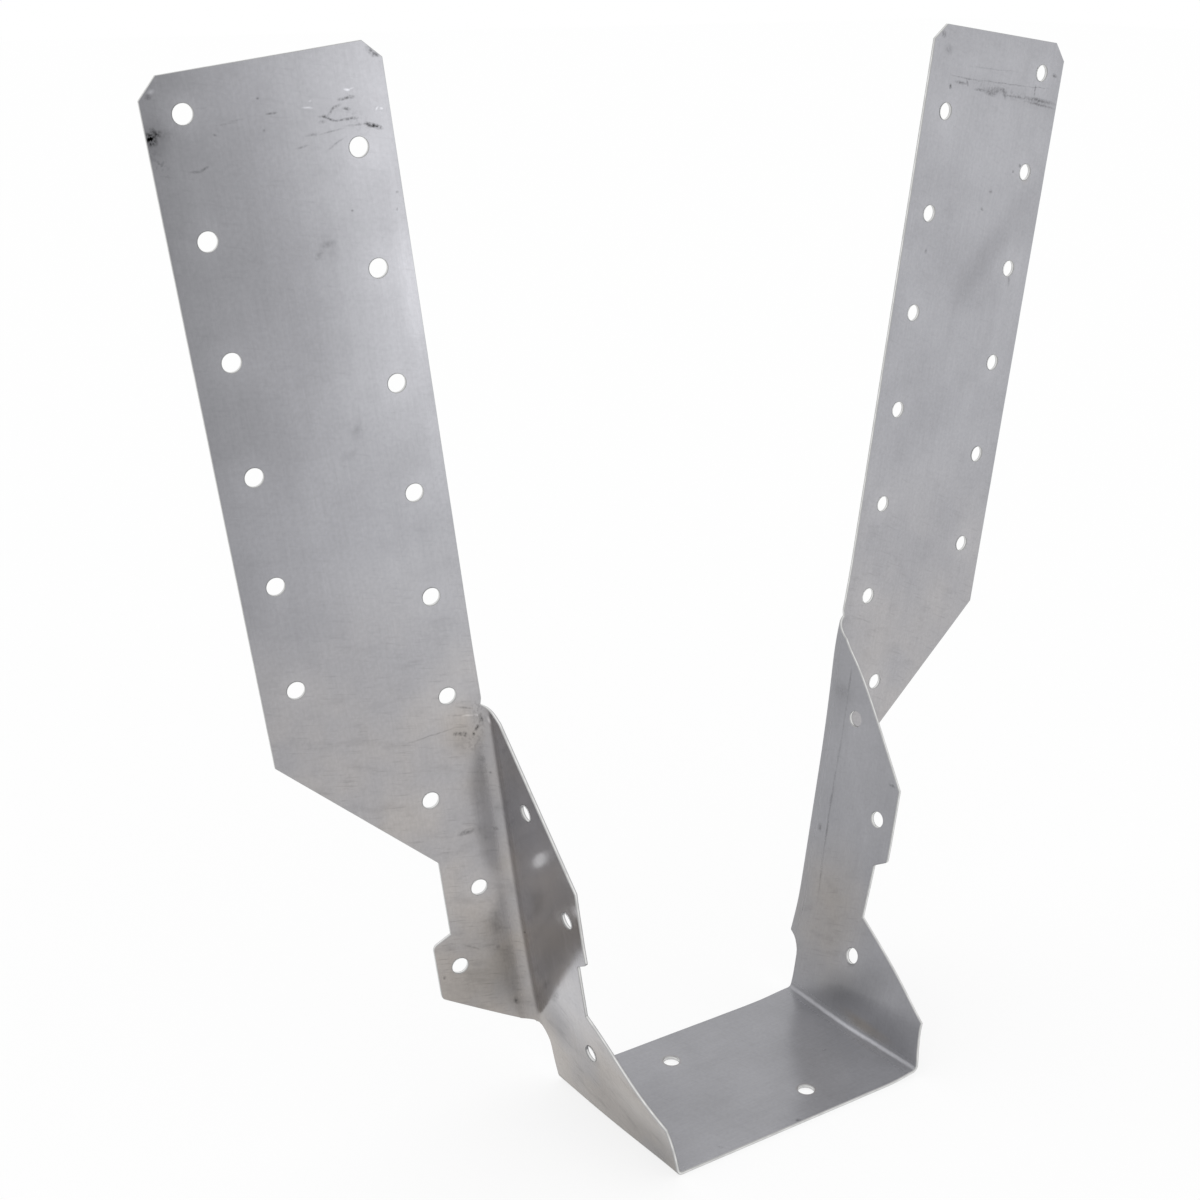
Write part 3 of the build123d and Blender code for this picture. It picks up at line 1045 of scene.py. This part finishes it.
def mill_finish(tree, blank):
    """The grain, the clouds' noise, the pores, and the tone that all the layers make."""
    grain_noise = noise(tree, blank, 1.0, 2.0, stretch=(90.0, 2300.0, 1.0))
    grain = ramp(tree, grain_noise, 0.3, 0.7, grain_low, grain_high, "LINEAR")
    streak_noise = noise(tree, blank, 1.0, 1.0, stretch=(18.0, 320.0, 1.0))
    streaks = ramp(tree, streak_noise, 0.3, 0.7, 0.986, 1.014, "LINEAR")
    cloud = noise(tree, blank, 40.0, 3.0)
    clouds = ramp(tree, cloud, 0.3, 0.7, 0.95, 1.05)
    pores = ramp(tree, noise(tree, blank, 900.0, 3.0), 0.3, 0.7, 0.96, 1.04, "LINEAR")
    rolled = math_node(tree, "MULTIPLY", grain, streaks)
    return grain, cloud, pores, math_node(tree, "MULTIPLY", rolled, math_node(tree, "MULTIPLY", clouds, pores))


# %% [markdown]
# A drawn stroke looks too neat, so the strokes are placed on a blank that a fine noise pushes about by up to 0.4 mm,
# and a second noise breaks them up. Dirt is the same stroke, wider and cut into speckles.

# %% Strokes and speckled dirt
def marked(tree, blank, scratches, rubs_and_painted_highlights, dirt):
    """How much the marks darken and brighten the sheet."""
    wobble = node(tree, "ShaderNodeTexNoise", {"Scale": 300.0, "Detail": 2.0, "Vector": blank})
    shift = node(tree, "ShaderNodeVectorMath", {
        0: wobble.outputs["Color"],
        1: (0.8 * mm, 0.8 * mm, 0.0),
        2: (-0.4 * mm, -0.4 * mm, 0.0),
    }, operation="MULTIPLY_ADD")
    uneven = node(tree, "ShaderNodeVectorMath", {0: blank, 1: shift.outputs[0]}, operation="ADD").outputs[0]
    speckle = ramp(tree, noise(tree, blank, 900.0, 3.0), 0.46, 0.62)
    dirty = math_node(tree, "MULTIPLY", fine_marks(tree, uneven, dirt), speckle)
    broken = ramp(tree, noise(tree, blank, 1400.0, 2.0), 0.36, 0.6, 0.45, 1.35)
    scratched = math_node(tree, "MULTIPLY", fine_marks(tree, uneven, scratches), broken)
    dark = math_node(tree, "ADD", scratched, dirty, clamp=True)
    return dark, math_node(tree, "ADD", fine_marks(tree, uneven, rubs_and_painted_highlights), 1.0)


# %% [markdown]
# Handling leaves two traces: hairlines and smudges, slanted a little to the grain, and a warm tint where grease and
# dust have settled. Both grow with the stored warmth.

# %% Hairlines, smudges and tint
def handled_look(tree, blank, cloud, brightness):
    """How much the handling darkens the sheet, and its colour."""
    warmth = stored_value(tree, "warmth")
    slanted = node(tree, "ShaderNodeMapping", {"Rotation": (0, 0, 0.3), "Vector": blank}).outputs["Vector"]
    hairs = ramp(tree, noise(tree, slanted, 1.0, 3.0, stretch=(1500.0, 130.0, 1.0)), 0.56, 0.74, 0.0, 0.16)
    smudges = ramp(tree, noise(tree, slanted, 1.0, 4.0, stretch=(260.0, 110.0, 1.0)), 0.5, 0.75, 0.0, 0.12)
    more_or_less = math_node(tree, "ADD", warmth, 0.3)
    wear = math_node(tree, "MULTIPLY", math_node(tree, "ADD", hairs, smudges), more_or_less, clamp=True)
    tint = node(tree, "ShaderNodeMix", data_type="RGBA", inputs={
        "A": [brightness * c for c in (0.411, 0.412, 0.436)] + [1],
        "B": [brightness * c for c in (0.42, 0.392, 0.368)] + [1],
        "Factor": math_node(tree, "MULTIPLY", warmth, ramp(tree, cloud, 0.3, 0.7, 0.5, 1.3)),
    })
    return wear, tint.outputs["Result"]


# %% [markdown]
# Now the layers come together in one metal. A mill finish is rougher across its grain, so the gloss follows the
# grain too, and dirt and stretched folds dull it. Both faces share the recipe and differ in a few numbers, because
# the inner face is the duller side of the sheet.

# %% The steel itself
def sheet_steel(material, scratches, rubs_and_painted_highlights, dirt, brightness, metal, gloss):
    """Metal with rolling grain, clouds and marks, all on the flat blank. Gloss is its least and most roughness."""
    material.use_nodes = True
    tree = material.node_tree
    shader = tree.nodes["Principled BSDF"]
    shader.inputs["Metallic"].default_value = metal
    blank = node(tree, "ShaderNodeUVMap", uv_map="flat_blank").outputs["UV"]
    grain, cloud, pores, tone = mill_finish(tree, blank)
    dark, bright = marked(tree, blank, scratches, rubs_and_painted_highlights, dirt)
    wear, colour = handled_look(tree, blank, cloud, brightness)

    # Painted highlight: a faint sheen round each hole. The stored shade carries the stains, the painted shade and the
    # strap's painted reflection.
    painted_hole_sheen = math_node(tree, "MULTIPLY_ADD", stored_value(tree, "nail_halo"), 0.05, 1.0)
    tone = math_node(tree, "MULTIPLY", tone, math_node(tree, "MULTIPLY", stored_value(tree, "shade"), painted_hole_sheen))
    clean = math_node(tree, "SUBTRACT", 1.0, dark)
    tone = math_node(tree, "MULTIPLY", tone, math_node(tree, "MULTIPLY", bright, clean))
    tone = math_node(tree, "MULTIPLY", tone, math_node(tree, "SUBTRACT", 1.0, wear))
    toned = node(tree, "ShaderNodeVectorMath", {0: colour, "Scale": tone}, operation="SCALE")
    tree.links.new(toned.outputs[0], shader.inputs["Base Color"])

    rough = ramp(tree, grain, grain_low, grain_high, gloss[0], gloss[1], "LINEAR")
    dulled = math_node(tree, "MULTIPLY_ADD", dark, 0.2, rough)
    stretched = math_node(tree, "MULTIPLY_ADD", stored_value(tree, "strain"), 0.3, dulled)
    tree.links.new(stretched, shader.inputs["Roughness"])
    relief = math_node(tree, "MULTIPLY", grain, pores)
    bump = node(tree, "ShaderNodeBump", {"Strength": 0.12, "Distance": 0.05 * mm, "Height": relief})
    tree.links.new(bump.outputs["Normal"], shader.inputs["Normal"])
    print(material.name, "has", len(tree.nodes), "nodes")


sheet_steel(steel_front, outer_scratches, outer_shine, outer_dirt, brightness=1.0, metal=1.0, gloss=(0.13, 0.19))
sheet_steel(steel_back, inner_scratches, inner_painted_fold_highlight, inner_dirt, brightness=0.78, metal=0.4, gloss=(0.19, 0.26))

# %% [markdown]
# The cut wall is bare metal: a bright band in its middle, broken along the edge, with a duller one on each side.

# %% The sheared edge
steel_edge.use_nodes = True
edge_tree = steel_edge.node_tree
edge_shader = edge_tree.nodes["Principled BSDF"]
edge_shader.inputs["Metallic"].default_value = 1.0
edge_shader.inputs["Roughness"].default_value = 0.3
on_edge = node(edge_tree, "ShaderNodeTexCoord").outputs["Object"]
torn = ramp(edge_tree, noise(edge_tree, on_edge, 300.0, 3.0), 0.3, 0.7, 0.5, 1.0)
depth = stored_value(edge_tree, "depth")
band_start = ramp(edge_tree, depth, 0.15, 0.35)
band_end = ramp(edge_tree, depth, 0.75, 0.9, 1.0, 0.0)
band = math_node(edge_tree, "MULTIPLY", band_start, band_end)
edge_tint = node(edge_tree, "ShaderNodeMix", data_type="RGBA", inputs={
    "A": (0.42, 0.42, 0.42, 1),
    "B": (0.8, 0.8, 0.79, 1),
    "Factor": math_node(edge_tree, "MULTIPLY", band, torn),
})
edge_tree.links.new(edge_tint.outputs["Result"], edge_shader.inputs["Base Color"])
print("steel_edge has", len(edge_tree.nodes), "nodes")

# %% [markdown]
# The photograph is a product shot on white with soft light from everywhere. A white world gives that without lamps.
# The floor looks white to the camera and in reflections, and keeps a share of plain paint so that the hanger's soft
# shadow still falls on it.

# %% Floor
floor_reach = 6.0
floor_z = -1.2 * mm
glow_share = 0.8
floor_corners = [(-1, -1), (1, -1), (1, 1), (-1, 1)]
floor_mesh = bpy.data.meshes.new("floor")
floor_mesh.from_pydata([(x * floor_reach, y * floor_reach, floor_z) for x, y in floor_corners], [], [(0, 1, 2, 3)])
floor = add_object("floor", floor_mesh)
floor_paint = bpy.data.materials.new("floor_paint")
floor_paint.use_nodes = True
floor_tree = floor_paint.node_tree
floor_tree.nodes.clear()
path = node(floor_tree, "ShaderNodeLightPath")
seen = 0.0
for ray in ("Is Camera Ray", "Is Glossy Ray", "Is Transmission Ray"):
    seen = math_node(floor_tree, "MAXIMUM", path.outputs[ray], seen)
matt = node(floor_tree, "ShaderNodeBsdfDiffuse", {"Color": (0.97, 0.97, 0.97, 1)})
glow = node(floor_tree, "ShaderNodeEmission", {"Strength": 1.0})
mix = node(floor_tree, "ShaderNodeMixShader", {
    0: math_node(floor_tree, "MULTIPLY", seen, glow_share),
    1: matt.outputs[0],
    2: glow.outputs[0],
})
node(floor_tree, "ShaderNodeOutputMaterial", {"Surface": mix.outputs[0]})
floor_mesh.materials.append(floor_paint)
print("floor at z =", round(floor_z / mm, 1), "mm")

# %% World
world = bpy.data.worlds.new("studio")
bpy.context.scene.world = world
world.use_nodes = True
background = world.node_tree.nodes["Background"]
background.inputs["Color"].default_value = (1, 1, 1, 1)
background.inputs["Strength"].default_value = 1.0
print("world:", world.name, "at strength", background.inputs["Strength"].default_value)

# %% [markdown]
# The camera was fitted to the centres of the nail holes in the photograph, so its place and lens are plain numbers.

# %% Camera
camera_place = Vector((-312.44, -382.37, 325.43)) * mm
camera_turn = Matrix((
    (0.8270652125, 0.1818365545, -0.5318821314),
    (-0.5620751989, 0.2774365721, -0.7791664901),
    (0.0058826054, 0.9433792535, 0.331663955),
))
camera_data = bpy.data.cameras.new("camera")
camera_data.sensor_width = 36
camera_data.lens = 56.48
camera = add_object("camera", camera_data)
camera.matrix_world = Matrix.Translation(camera_place) @ camera_turn.to_4x4()
bpy.context.scene.camera = camera
bpy.context.scene.view_settings.view_transform = "Standard"
print("camera", round(camera_place.length, 3), "m from the seat")
